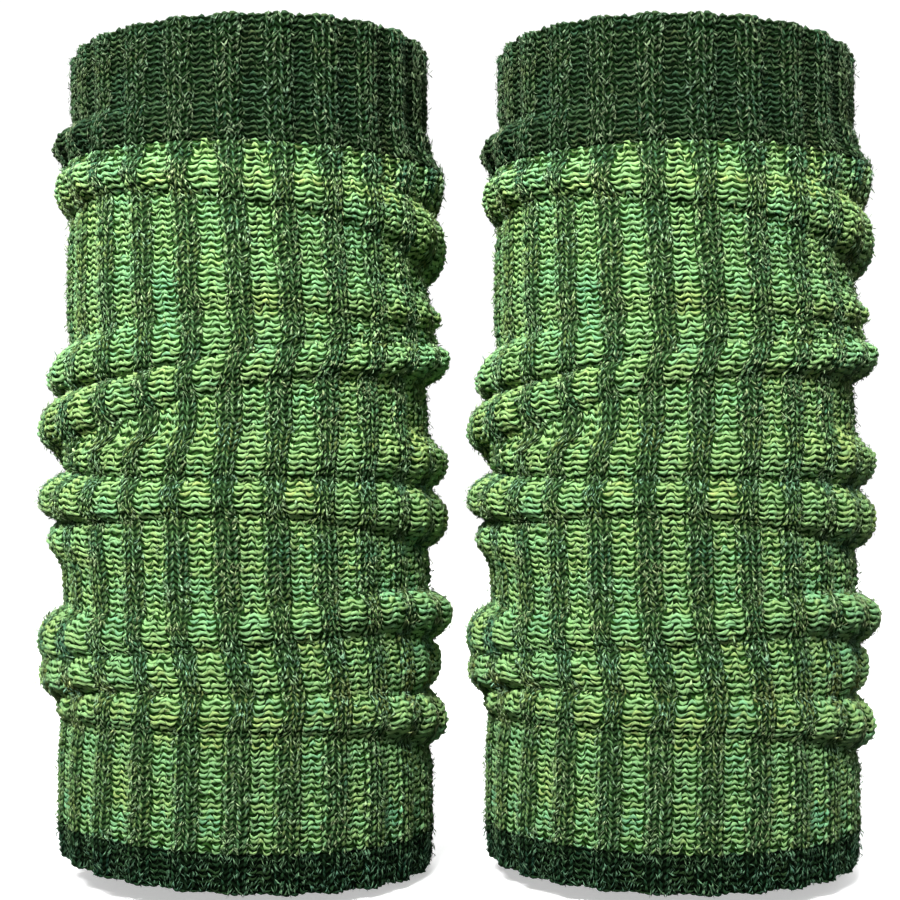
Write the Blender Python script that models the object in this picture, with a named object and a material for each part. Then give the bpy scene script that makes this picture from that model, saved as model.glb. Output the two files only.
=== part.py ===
"""Pair of slouched, rib-knitted leg warmers, each a hollow tube as a calf fills it out.

Every tube is one loft through fold rows: a row runs round the tube along a crest, a crease or a
flat stretch, with its height above the hem and its bulge at eight stations. The dark cuff, the
two-tone leg and the dark hem are knitted in one tube and stand here as three walls, a seam gap
apart. The outer points carry the raised ribs, which wander sideways as the cloth slouches, and the
inside is plain.
"""
import math
from collections import namedtuple

import bpy

MM = 0.001

# Driving sizes of one leg warmer, in millimetres, with heights measured up from the hem
TUBE_HEIGHT = 280.6
HOLD_HEIGHT = 260.0
PURL_RADIUS = 61.4
WALL_THICKNESS = 1.8
SEAM_GAP = 0.3

# Ribs: columns of plain knit stand out between sunken columns of purl
RIB_COUNT = 24
POINTS_PER_RIB = 3
RIB_HEIGHT = 1.8
RIB_PRESSED_BY_CREST = 0.5
PURL_PUFF_ON_CREST = 1.3
FULL_PUFF_BULGE = 4.0

# The pair stands side by side, each turned a little inwards
PAIR_SPACING = 150.6
TURN_INWARDS = math.radians(7.2)

# The soft ends lean: the right side of the cuff rim stands up and of the hem hangs down by this
LEANS = {"left": (3.0, 3.4), "right": (-1.8, 0.0)}
CUFF_LEAN_STARTS = 240.3
HEM_LEAN_STARTS = 50.0

# A crease is tight where the cloth doubles over, and a crest or flat row passes smoothly
SLOPE_AT_CREASE = {"crest": 0.0, "flat": 0.0, "crease": 1.3}
HALF_RING_STEP = 5.5

# Stations around the tube, at equal angles from the left side by way of the front
STATIONS = ("left", "front left", "front", "front right",
            "right", "back right", "back", "back left")
LEFT_ANGLE = -math.pi / 2

# One entry for each fold row, from the top down: its name, its kind, how many degrees the ribs slide
# to the right along it, and its height above the hem and its bulge past the purl radius by station
Fold = namedtuple("Fold", "name kind slide heights bulges")
FOLD_ROWS = (
    Fold("cuff rim", "flat", 0.6,
         (280.6, 280.6, 280.6, 280.6, 280.6, 280.6, 280.6, 280.6),
         (-1.2, -0.9, -0.7, -0.5, -0.3, -0.5, -0.8, -1.1)),
    Fold("cuff middle", "flat", 0.8,
         (264.0, 264.0, 264.0, 264.0, 264.0, 264.0, 264.0, 264.0),
         (-1.3, -1.0, -0.8, -0.6, -0.4, -0.6, -0.9, -1.2)),
    Fold("cuff above its roll", "crease", 1.0,
         (254.5, 254.0, 253.0, 253.0, 254.0, 254.0, 254.0, 254.5),
         (-1.0, -0.8, -0.6, -0.5, 0.0, -0.4, -0.8, -1.0)),
    Fold("cuff roll", "crest", 1.2,
         (248.3, 247.5, 247.0, 247.0, 249.0, 248.5, 247.5, 248.0),
         (5.3, 2.2, 0.0, 0.0, 1.6, 2.0, 3.0, 4.4)),
    Fold("cuff edge", "flat", 1.5,
         (240.3, 240.3, 240.3, 240.3, 240.3, 240.3, 240.3, 240.3),
         (1.7, 1.5, 0.8, 1.5, 6.0, 3.0, 0.5, 1.0)),
    Fold("dip under the cuff", "crease", 1.9,
         (237.9, 237.5, 235.0, 230.5, 225.0, 228.5, 235.0, 237.2),
         (1.8, 1.6, 1.0, 0.8, 3.5, 1.5, 0.3, 0.8)),
    Fold("first crest", "crest", 2.4,
         (234.8, 232.3, 226.0, 220.5, 215.8, 219.5, 226.0, 231.5),
         (3.8, 3.8, 3.4, 3.6, 6.7, 5.2, 4.2, 3.7)),
    Fold("first crease", "crease", 2.5,
         (222.0, 226.0, 221.0, 213.5, 200.8, 209.0, 218.0, 223.5),
         (0.0, 0.0, 0.0, 0.3, 0.0, 0.0, 0.0, 0.0)),
    Fold("upper flat", "flat", 3.6,
         (206.0, 208.0, 205.0, 201.0, 196.5, 200.5, 206.0, 207.5),
         (0.0, 0.0, 0.0, 0.0, 0.7, 0.2, 0.0, 0.0)),
    Fold("second crest", "crest", 4.1,
         (190.0, 196.0, 196.0, 190.3, 189.6, 193.0, 196.0, 193.0),
         (0.2, 1.2, 2.6, 3.3, 4.2, 2.2, 3.0, 1.4)),
    Fold("second crease", "crease", 4.9,
         (177.5, 181.5, 186.5, 184.9, 184.7, 186.0, 183.5, 179.5),
         (0.0, 0.3, 0.4, 0.8, 2.5, 0.5, 0.0, 0.0)),
    Fold("hanging lip", "crest", 5.7,
         (165.7, 170.7, 176.3, 180.9, 181.9, 179.5, 173.5, 168.0),
         (7.0, 4.8, 1.8, 1.2, 3.8, 1.5, 3.2, 5.2)),
    Fold("crease under the lip", "crease", 4.6,
         (160.9, 165.2, 173.2, 177.8, 179.6, 176.2, 168.0, 162.5),
         (3.2, 0.0, 0.2, 1.0, 5.4, 1.0, 0.2, 0.5)),
    Fold("third crest", "crest", 2.7,
         (148.5, 158.6, 169.8, 171.8, 176.2, 170.5, 160.5, 152.5),
         (10.3, 5.3, 3.8, 4.5, 8.3, 5.8, 4.3, 6.3)),
    Fold("third crease", "crease", 0.9,
         (143.4, 150.0, 162.5, 166.8, 166.3, 162.5, 154.0, 146.5),
         (8.0, 1.2, 0.3, 0.2, 0.7, 0.3, 0.0, 2.0)),
    Fold("middle flat", "flat", 1.1,
         (140.7, 146.5, 150.0, 152.0, 150.5, 151.0, 148.0, 143.0),
         (4.5, 2.2, 0.3, 0.3, 0.0, 0.0, 0.3, 1.8)),
    Fold("fourth crest", "crest", 0.3,
         (138.2, 142.0, 138.2, 141.0, 139.5, 140.0, 141.0, 139.8),
         (2.2, 3.8, 3.2, 3.8, 6.8, 4.7, 3.7, 2.7)),
    Fold("fourth crease", "crease", -0.3,
         (135.6, 132.8, 132.1, 132.0, 128.8, 130.0, 133.0, 135.0),
         (0.7, 0.0, 0.0, 0.0, 2.5, 1.0, 0.0, 0.3)),
    Fold("fifth crest", "crest", -0.6,
         (125.2, 124.2, 126.2, 120.8, 118.1, 119.5, 123.0, 125.2),
         (10.6, 5.3, 3.6, 4.3, 6.8, 5.3, 4.3, 7.2)),
    Fold("fifth crease", "crease", 0.0,
         (118.1, 118.2, 120.8, 114.5, 107.4, 112.0, 117.0, 118.3),
         (4.2, 0.8, 0.2, 0.2, 1.0, 0.3, 0.2, 1.5)),
    Fold("small left bulge", "crest", 0.6,
         (111.0, 112.4, 113.5, 107.5, 102.4, 106.0, 111.0, 111.7),
         (6.6, 1.9, 0.2, 0.2, 0.9, 0.2, 1.0, 3.6)),
    Fold("lower flat", "flat", 0.6,
         (98.8, 100.0, 100.5, 99.5, 97.8, 97.8, 99.5, 99.0),
         (1.6, 0.3, 0.2, 0.2, 1.0, 0.2, 0.2, 0.6)),
    Fold("dip above the sixth crest", "crease", 1.2,
         (88.3, 87.8, 90.5, 94.5, 92.8, 91.2, 90.3, 88.7),
         (2.5, 0.4, 0.2, 0.2, 1.2, 0.3, 0.2, 0.8)),
    Fold("sixth crest", "crest", 1.4,
         (76.3, 80.0, 84.2, 89.6, 84.7, 84.0, 82.3, 78.3),
         (11.0, 3.4, 3.6, 4.5, 9.7, 6.3, 4.3, 6.7)),
    Fold("sixth crease", "crease", 2.8,
         (70.2, 74.8, 78.0, 81.2, 75.1, 76.2, 76.2, 72.6),
         (9.6, 0.8, 0.3, 0.4, 2.8, 1.0, 0.3, 3.8)),
    Fold("seventh crest", "crest", 4.2,
         (64.0, 68.8, 69.5, 70.4, 68.1, 69.2, 69.2, 66.3),
         (10.0, 4.4, 1.8, 1.0, 5.3, 3.2, 3.2, 6.2)),
    Fold("seventh crease", "crease", 5.6,
         (57.2, 62.6, 63.0, 60.6, 57.4, 60.0, 62.2, 60.0),
         (7.1, 0.0, 0.2, 0.4, 1.0, 0.3, 0.2, 1.5)),
    Fold("eighth crest", "crest", 5.4,
         (53.7, 57.6, 56.9, 53.3, 46.8, 51.0, 55.2, 55.8),
         (3.9, 4.0, 3.5, 4.5, 6.4, 4.8, 3.8, 3.7)),
    Fold("eighth crease", "crease", 3.8,
         (49.3, 50.8, 50.3, 46.5, 38.0, 42.8, 48.3, 49.6),
         (2.8, 0.5, 0.3, 0.4, 1.8, 0.6, 0.5, 1.0)),
    Fold("lower leg", "flat", 3.6,
         (27.0, 27.0, 27.0, 27.0, 27.0, 27.0, 27.0, 27.0),
         (3.3, 1.8, 1.0, 1.2, 1.8, 1.2, 1.0, 1.8)),
    Fold("hem seam", "flat", 3.0,
         (12.0, 12.0, 12.0, 12.0, 12.0, 12.0, 12.0, 12.0),
         (3.4, 2.0, 1.2, 1.4, 1.8, 1.4, 1.2, 2.0)),
    Fold("hem edge", "flat", 3.0,
         (0.0, 0.0, 0.0, 0.0, 0.0, 0.0, 0.0, 0.0),
         (2.4, 1.4, 0.7, 0.8, 1.2, 0.8, 0.7, 1.4)),
)

# Each knitted zone runs from one named row to another
ZONES = (
    ("cuff", "cuff rim", "cuff edge", "dark_wool_rib"),
    ("leg", "cuff edge", "hem seam", "two_tone_wool_rib"),
    ("hem", "hem seam", "hem edge", "dark_wool_edge"),
)

# Base colour in linear light and roughness of each knit
YARNS = {
    "dark_wool_rib": ((0.028, 0.075, 0.034, 1.0), 0.95),
    "two_tone_wool_rib": ((0.110, 0.260, 0.080, 1.0), 0.95),
    "dark_wool_edge": ((0.012, 0.036, 0.018, 1.0), 0.95),
}

COLLECTION_NAME = "leg_warmer_pair"


def clear_scene():
    """Remove whatever objects the new scene starts with."""
    for scene_object in list(bpy.data.objects):
        bpy.data.objects.remove(scene_object, do_unlink=True)


def around(values, angle):
    """Value at an angle, on a smooth closed curve through the eight station values."""
    place = (angle - LEFT_ANGLE) / (2 * math.pi) * len(STATIONS)
    first = math.floor(place)
    t = place - first
    before, start, end, after = (values[(first + step) % len(STATIONS)] for step in (-1, 0, 1, 2))
    slope_start = (end - before) / 2
    slope_end = (after - start) / 2
    return (start * (2 * t**3 - 3 * t**2 + 1) + slope_start * (t**3 - 2 * t**2 + t)
            + end * (3 * t**2 - 2 * t**3) + slope_end * (t**3 - t**2))


def share_of_next_row(upper_kind, lower_kind, t):
    """How much of the lower row's bulge holds at a part t of the way down from the upper row."""
    smooth = 3 * t**2 - 2 * t**3
    leaving = SLOPE_AT_CREASE[upper_kind] * (t**3 - 2 * t**2 + t)
    arriving = SLOPE_AT_CREASE[lower_kind] * (t**3 - t**2)
    return smooth + leaving + arriving


def row_at(row, angle):
    """Height, bulge and puff of one fold row at an angle."""
    bulge = around(row.bulges, angle)
    puff = min(max(bulge / FULL_PUFF_BULGE, 0.0), 1.0) if row.kind == "crest" else 0.0
    return around(row.heights, angle), bulge, puff


def rows_at(level):
    """Fold rows above and below a level, whose whole part names a row, and the rest the way down."""
    upper_index = min(int(level), len(FOLD_ROWS) - 2)
    return FOLD_ROWS[upper_index], FOLD_ROWS[upper_index + 1], level - upper_index


def slide_at(level):
    """Angle by which the ribs have slid to the right at a level."""
    upper, lower, t = rows_at(level)
    return math.radians(upper.slide + (lower.slide - upper.slide) * t)


def cloth_at(level, angle):
    """Height, bulge and puff of the cloth at a level and an angle."""
    upper, lower, t = rows_at(level)
    upper_height, upper_bulge, upper_puff = row_at(upper, angle)
    lower_height, lower_bulge, lower_puff = row_at(lower, angle)
    share = share_of_next_row(upper.kind, lower.kind, t)
    height = upper_height + (lower_height - upper_height) * t
    bulge = upper_bulge + (lower_bulge - upper_bulge) * share
    puff = upper_puff + (lower_puff - upper_puff) * share
    return height, bulge, puff


def zone_levels(top_name, bottom_name):
    """Levels of a zone's rings: each row, and half way between two rows that differ much."""
    names = [row.name for row in FOLD_ROWS]
    top = names.index(top_name)
    bottom = names.index(bottom_name)
    levels = []
    for index in range(top, bottom):
        levels.append(float(index))
        upper, lower = FOLD_ROWS[index], FOLD_ROWS[index + 1]
        step = max(abs(a - b) for a, b in zip(upper.bulges, lower.bulges))
        if step > HALF_RING_STEP:
            levels.append(index + 0.5)
    levels.append(float(bottom))
    return levels


def place_point(radius, angle, height, leans):
    """Point in metres, with the front at -Y and the level where the calf holds the cuff at 0."""
    across = radius * math.sin(angle)
    cuff_lean, hem_lean = leans
    cuff_share = max(height - CUFF_LEAN_STARTS, 0.0) / (TUBE_HEIGHT - CUFF_LEAN_STARTS)
    hem_share = max(HEM_LEAN_STARTS - height, 0.0) / HEM_LEAN_STARTS
    lean = (cuff_lean * cuff_share - hem_lean * hem_share) * across / PURL_RADIUS
    return (across * MM, -radius * math.cos(angle) * MM, (height + lean - HOLD_HEIGHT) * MM)


def outer_ring(level, lift, leans):
    """Points round the outside, with a sunken purl point and two raised knit points a rib."""
    ring = []
    for index in range(RIB_COUNT * POINTS_PER_RIB):
        angle = 2 * math.pi * index / (RIB_COUNT * POINTS_PER_RIB) + slide_at(level)
        height, bulge, puff = cloth_at(level, angle)
        if index % POINTS_PER_RIB == 0:
            relief = PURL_PUFF_ON_CREST * puff
        else:
            relief = RIB_HEIGHT * (1 - RIB_PRESSED_BY_CREST * puff)
        ring.append(place_point(PURL_RADIUS + bulge + relief, angle, height + lift, leans))
    return ring


def inner_ring(level, lift, leans):
    """Points round the plain inside, one behind each purl column."""
    ring = []
    for index in range(RIB_COUNT):
        angle = 2 * math.pi * index / RIB_COUNT + slide_at(level)
        height, bulge, puff = cloth_at(level, angle)
        radius = PURL_RADIUS + bulge - WALL_THICKNESS
        ring.append(place_point(radius, angle, height + lift, leans))
    return ring


def band_faces(first_start, second_start, count):
    """Quads between two rings, facing outwards where the second ring is the lower one."""
    faces = []
    for index in range(count):
        following = (index + 1) % count
        faces.append((first_start + index, second_start + index,
                      second_start + following, first_start + following))
    return faces


def rim_faces(outer_start, inner_start, faces_up):
    """Flat faces that close the wall at a rim, one behind each rib."""
    outer_count = RIB_COUNT * POINTS_PER_RIB
    faces = []
    for rib in range(RIB_COUNT):
        outer = [outer_start + (rib * POINTS_PER_RIB + step) % outer_count
                 for step in range(POINTS_PER_RIB + 1)]
        inner = [inner_start + (rib + 1) % RIB_COUNT, inner_start + rib]
        face = outer + inner
        faces.append(tuple(face if faces_up else reversed(face)))
    return faces


def wall_mesh(name, levels, top_lift, bottom_lift, leans):
    """Closed wall of one knitted zone: outer rings, plain inner rings and two flat rims."""
    inner_levels = [level for level in levels if level == int(level)]
    points = []
    faces = []
    outer_starts = []
    inner_starts = []
    lifts = {levels[0]: top_lift, levels[-1]: bottom_lift}
    for level in levels:
        outer_starts.append(len(points))
        points.extend(outer_ring(level, lifts.get(level, 0.0), leans))
    for level in inner_levels:
        inner_starts.append(len(points))
        points.extend(inner_ring(level, lifts.get(level, 0.0), leans))
    for upper, lower in zip(outer_starts, outer_starts[1:]):
        faces.extend(band_faces(upper, lower, RIB_COUNT * POINTS_PER_RIB))
    for upper, lower in zip(inner_starts, inner_starts[1:]):
        faces.extend(band_faces(lower, upper, RIB_COUNT))
    faces.extend(rim_faces(outer_starts[0], inner_starts[0], True))
    faces.extend(rim_faces(outer_starts[-1], inner_starts[-1], False))
    mesh = bpy.data.meshes.new(name)
    mesh.from_pydata(points, [], faces)
    mesh.validate()
    mesh.shade_smooth()
    mesh.set_sharp_from_angle(angle=math.radians(60))
    return mesh


def yarn_material(name):
    """Plain matt wool of one knit."""
    colour, roughness = YARNS[name]
    material = bpy.data.materials.new(name)
    material.use_nodes = True
    shader = material.node_tree.nodes["Principled BSDF"]
    shader.inputs["Base Color"].default_value = colour
    shader.inputs["Roughness"].default_value = roughness
    shader.inputs["Metallic"].default_value = 0.0
    return material


def leg_warmer(side, offset, turn, materials, collection):
    """One leg warmer: an empty on its axis that carries the cuff, the leg and the hem."""
    axis = bpy.data.objects.new(f"{side}_axis", None)
    axis.location = (offset * MM, 0.0, 0.0)
    axis.rotation_euler = (0.0, 0.0, turn)
    collection.objects.link(axis)
    for zone, top_name, bottom_name, yarn in ZONES:
        levels = zone_levels(top_name, bottom_name)
        top_lift = 0.0 if zone == "cuff" else -SEAM_GAP / 2
        bottom_lift = 0.0 if zone == "hem" else SEAM_GAP / 2
        name = f"{side}_{zone}"
        mesh = wall_mesh(name, levels, top_lift, bottom_lift, LEANS[side])
        wall = bpy.data.objects.new(name, mesh)
        wall.data.materials.append(materials[yarn])
        wall.parent = axis
        collection.objects.link(wall)


def build_pair():
    """Both leg warmers, side by side as a pair of calves holds them."""
    clear_scene()
    collection = bpy.data.collections.new(COLLECTION_NAME)
    bpy.context.scene.collection.children.link(collection)
    materials = {name: yarn_material(name) for name in YARNS}
    leg_warmer("left", -PAIR_SPACING / 2, TURN_INWARDS, materials, collection)
    leg_warmer("right", PAIR_SPACING / 2, -TURN_INWARDS, materials, collection)
    bpy.context.view_layer.update()


build_pair()
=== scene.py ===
"""Pair of slouched, rib-knitted leg warmers: the yarn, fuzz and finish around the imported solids."""
import math

import bpy
import numpy as np
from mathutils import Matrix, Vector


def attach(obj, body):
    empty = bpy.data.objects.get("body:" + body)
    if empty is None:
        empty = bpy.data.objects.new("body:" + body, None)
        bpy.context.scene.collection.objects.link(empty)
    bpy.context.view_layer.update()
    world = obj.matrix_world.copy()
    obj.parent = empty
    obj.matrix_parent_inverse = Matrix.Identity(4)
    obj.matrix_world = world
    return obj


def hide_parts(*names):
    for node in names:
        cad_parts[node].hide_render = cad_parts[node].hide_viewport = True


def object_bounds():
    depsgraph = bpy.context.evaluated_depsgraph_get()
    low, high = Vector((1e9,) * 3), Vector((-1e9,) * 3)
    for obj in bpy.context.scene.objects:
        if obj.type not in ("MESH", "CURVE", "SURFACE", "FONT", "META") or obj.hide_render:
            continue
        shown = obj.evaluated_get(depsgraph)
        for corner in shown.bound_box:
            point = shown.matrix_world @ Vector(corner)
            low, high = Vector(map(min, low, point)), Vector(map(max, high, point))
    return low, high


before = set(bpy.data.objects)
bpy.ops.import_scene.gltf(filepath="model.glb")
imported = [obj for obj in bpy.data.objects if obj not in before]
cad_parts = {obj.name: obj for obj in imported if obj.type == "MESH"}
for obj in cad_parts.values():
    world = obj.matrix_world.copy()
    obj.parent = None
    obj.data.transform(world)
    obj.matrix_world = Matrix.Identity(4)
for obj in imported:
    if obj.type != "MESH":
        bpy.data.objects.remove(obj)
cad_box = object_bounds()
scene = bpy.context.scene


# The studio. A pale matt floor, softly lit from below like a light table, runs to a white horizon,
# with a softbox high in front, weaker ones on the right and behind and a soft white sky.

def linear(hex_colour):
    """Linear RGBA of an sRGB hex colour."""
    channels = [int(hex_colour[i:i + 2], 16) / 255 for i in (1, 3, 5)]
    return tuple(c / 12.92 if c <= 0.04045 else ((c + 0.055) / 1.055) ** 2.4
                 for c in channels) + (1.0,)


def add_node(tree, kind, inputs=None, **settings):
    """Add a node with its settings, and set or link its inputs."""
    node = tree.nodes.new(kind)
    for name, value in settings.items():
        setattr(node, name, value)
    for socket, value in (inputs or {}).items():
        if isinstance(value, bpy.types.NodeSocket):
            tree.links.new(value, node.inputs[socket])
        else:
            node.inputs[socket].default_value = value
    return node


def plain_material(name):
    """Material with an empty tree, ready for a principled shader."""
    material = bpy.data.materials.new(name)
    material.use_nodes = True
    material.node_tree.nodes.clear()
    return material


FLOOR_GAP = 0.003
FLOOR_REACH = 6.0
PAPER_GLOW = 0.45
floor_height = cad_box[0][2] - FLOOR_GAP
floor_corners = [(x * FLOOR_REACH, y * FLOOR_REACH, floor_height)
                 for x, y in ((-1, -1), (1, -1), (1, 1), (-1, 1))]
floor_mesh = bpy.data.meshes.new("studio_floor")
floor_mesh.from_pydata(floor_corners, [], [(0, 1, 2, 3)])
floor = bpy.data.objects.new("studio_floor", floor_mesh)
scene.collection.objects.link(floor)
paper = plain_material("white_studio_paper")
paper_grain = add_node(paper.node_tree, "ShaderNodeTexNoise", {"Scale": 3.0, "Detail": 3.0})
paper_colour = add_node(paper.node_tree, "ShaderNodeMix", {
    "Factor": paper_grain.outputs["Fac"], "A": linear("#F6F6F6"), "B": linear("#FAFAFA")},
    data_type="RGBA")
paper_shader = add_node(paper.node_tree, "ShaderNodeBsdfPrincipled", {
    "Base Color": paper_colour.outputs["Result"], "Roughness": 0.9, "Specular IOR Level": 0.1,
    "Emission Color": linear("#FFFFFF"), "Emission Strength": PAPER_GLOW})
paper.cycles.emission_sampling = "NONE"
add_node(paper.node_tree, "ShaderNodeOutputMaterial", {"Surface": paper_shader.outputs["BSDF"]})
floor_mesh.materials.append(paper)
floor.visible_diffuse = False

# Strength of the sky's light from below, from level and from straight above, and as it is seen
SKY_BELOW, SKY_LEVEL, SKY_ABOVE, SKY_SEEN = 0.04, 0.09, 0.92, 1.1
world = bpy.data.worlds.new("white_sky")
world.use_nodes = True
world.node_tree.nodes.clear()
way = add_node(world.node_tree, "ShaderNodeTexCoord")
way_axes = add_node(world.node_tree, "ShaderNodeSeparateXYZ", {"Vector": way.outputs["Generated"]})
upper_sky = add_node(world.node_tree, "ShaderNodeMapRange", {
    "Value": way_axes.outputs["Z"], "From Min": 0.0, "From Max": 1.0,
    "To Min": SKY_LEVEL, "To Max": SKY_ABOVE})
lower_sky = add_node(world.node_tree, "ShaderNodeMapRange", {
    "Value": way_axes.outputs["Z"], "From Min": -0.4, "From Max": 0.0,
    "To Min": SKY_BELOW - SKY_LEVEL, "To Max": 0.0})
both_skies = add_node(world.node_tree, "ShaderNodeMath", {
    0: upper_sky.outputs["Result"], 1: lower_sky.outputs["Result"]}, operation="ADD")
seen = add_node(world.node_tree, "ShaderNodeLightPath")
strength = add_node(world.node_tree, "ShaderNodeMix", {
    "Factor": seen.outputs["Is Camera Ray"], "A": both_skies.outputs["Value"], "B": SKY_SEEN})
sky = add_node(world.node_tree, "ShaderNodeBackground", {
    "Color": (1.0, 1.0, 1.0, 1.0), "Strength": strength.outputs["Result"]})
add_node(world.node_tree, "ShaderNodeOutputWorld", {"Surface": sky.outputs["Background"]})
scene.world = world


PAIR_MIDDLE = (0.0, 0.0, -0.12)


def softbox(name, place, size, power, aim=PAIR_MIDDLE, spread=180.0):
    """Square area light that faces a point, with a spread in degrees."""
    lamp = bpy.data.lights.new(name, "AREA")
    lamp.shape = "SQUARE"
    lamp.size = size
    lamp.energy = power
    lamp.spread = math.radians(spread)
    box = bpy.data.objects.new(name, lamp)
    box.location = place
    beam = np.array(aim) - np.array(place)
    beam /= np.linalg.norm(beam)
    box.rotation_euler = (math.acos(-beam[2]), 0.0, math.atan2(beam[0], -beam[1]) + math.pi)
    scene.collection.objects.link(box)


softbox("key_softbox", (-0.42, -1.28, 1.2), size=0.65, power=9.4, aim=(-0.12, 0.0, 0.3),
        spread=44.0)
softbox("fill_softbox", (2.4, -2.0, 0.6), size=1.5, power=1.0)
softbox("back_softbox", (-0.3, 2.6, 1.8), size=1.6, power=55.0)

# The camera stands 0.59 m in front of the pair, at the height of the middle of the legs, so that
# the cuff rims curve down at the sides and the hems curve up.
CAMERA_DISTANCE = 0.59
CAMERA_HEIGHT = -0.133
PHOTO_SIDE = 900.0
PIXELS_PER_METRE = 2803.0
PIXELS_ACROSS, PIXELS_UP = -11.0, 45.0
camera_data = bpy.data.cameras.new("photo_camera")
camera_data.sensor_width = 36.0
camera_data.lens = PIXELS_PER_METRE * CAMERA_DISTANCE / PHOTO_SIDE * camera_data.sensor_width
camera_data.shift_x = PIXELS_ACROSS / PHOTO_SIDE
camera_data.shift_y = PIXELS_UP / PHOTO_SIDE
camera_data.clip_start = 0.01
camera = bpy.data.objects.new("photo_camera", camera_data)
camera.location = (0.0, -CAMERA_DISTANCE, CAMERA_HEIGHT)
camera.rotation_euler = (math.pi / 2, 0.0, 0.0)
scene.collection.objects.link(camera)
scene.camera = camera
scene.view_settings.view_transform = "Standard"


# The knitted tube. It is one soft tube of rib knit, filled out by a calf and slouched into folds.
# Fold rows run round it along the crests and creases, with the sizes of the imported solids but
# shallower on the front, and the ribs wander sideways along them.

MM = 0.001
RIBS = 24
STATIONS = 8             # places round the tube at which a fold row is given
SLOPE_AT_CREASE = 2.6    # how steeply the cloth runs into a crease
# In mm: radius to the purl columns, wall, ribs, heights above the hem, gap at a change of colour
PURL_RADIUS = 61.4
WALL = 1.8
RIB_HEIGHT = 1.8
TUBE_HEIGHT = 280.6
HOLD_HEIGHT = 260.0
CUFF_LEAN_STARTS = 240.3
HEM_LEAN_STARTS = 50.0
SEAM_GAP = 0.3
# Share by which the folds are shallower on the front, and the angles where that ends and fades
FRONT_SOFTENING = 0.40
FRONT_EDGE = math.radians(68)
FRONT_BLEND = math.radians(35)

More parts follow.
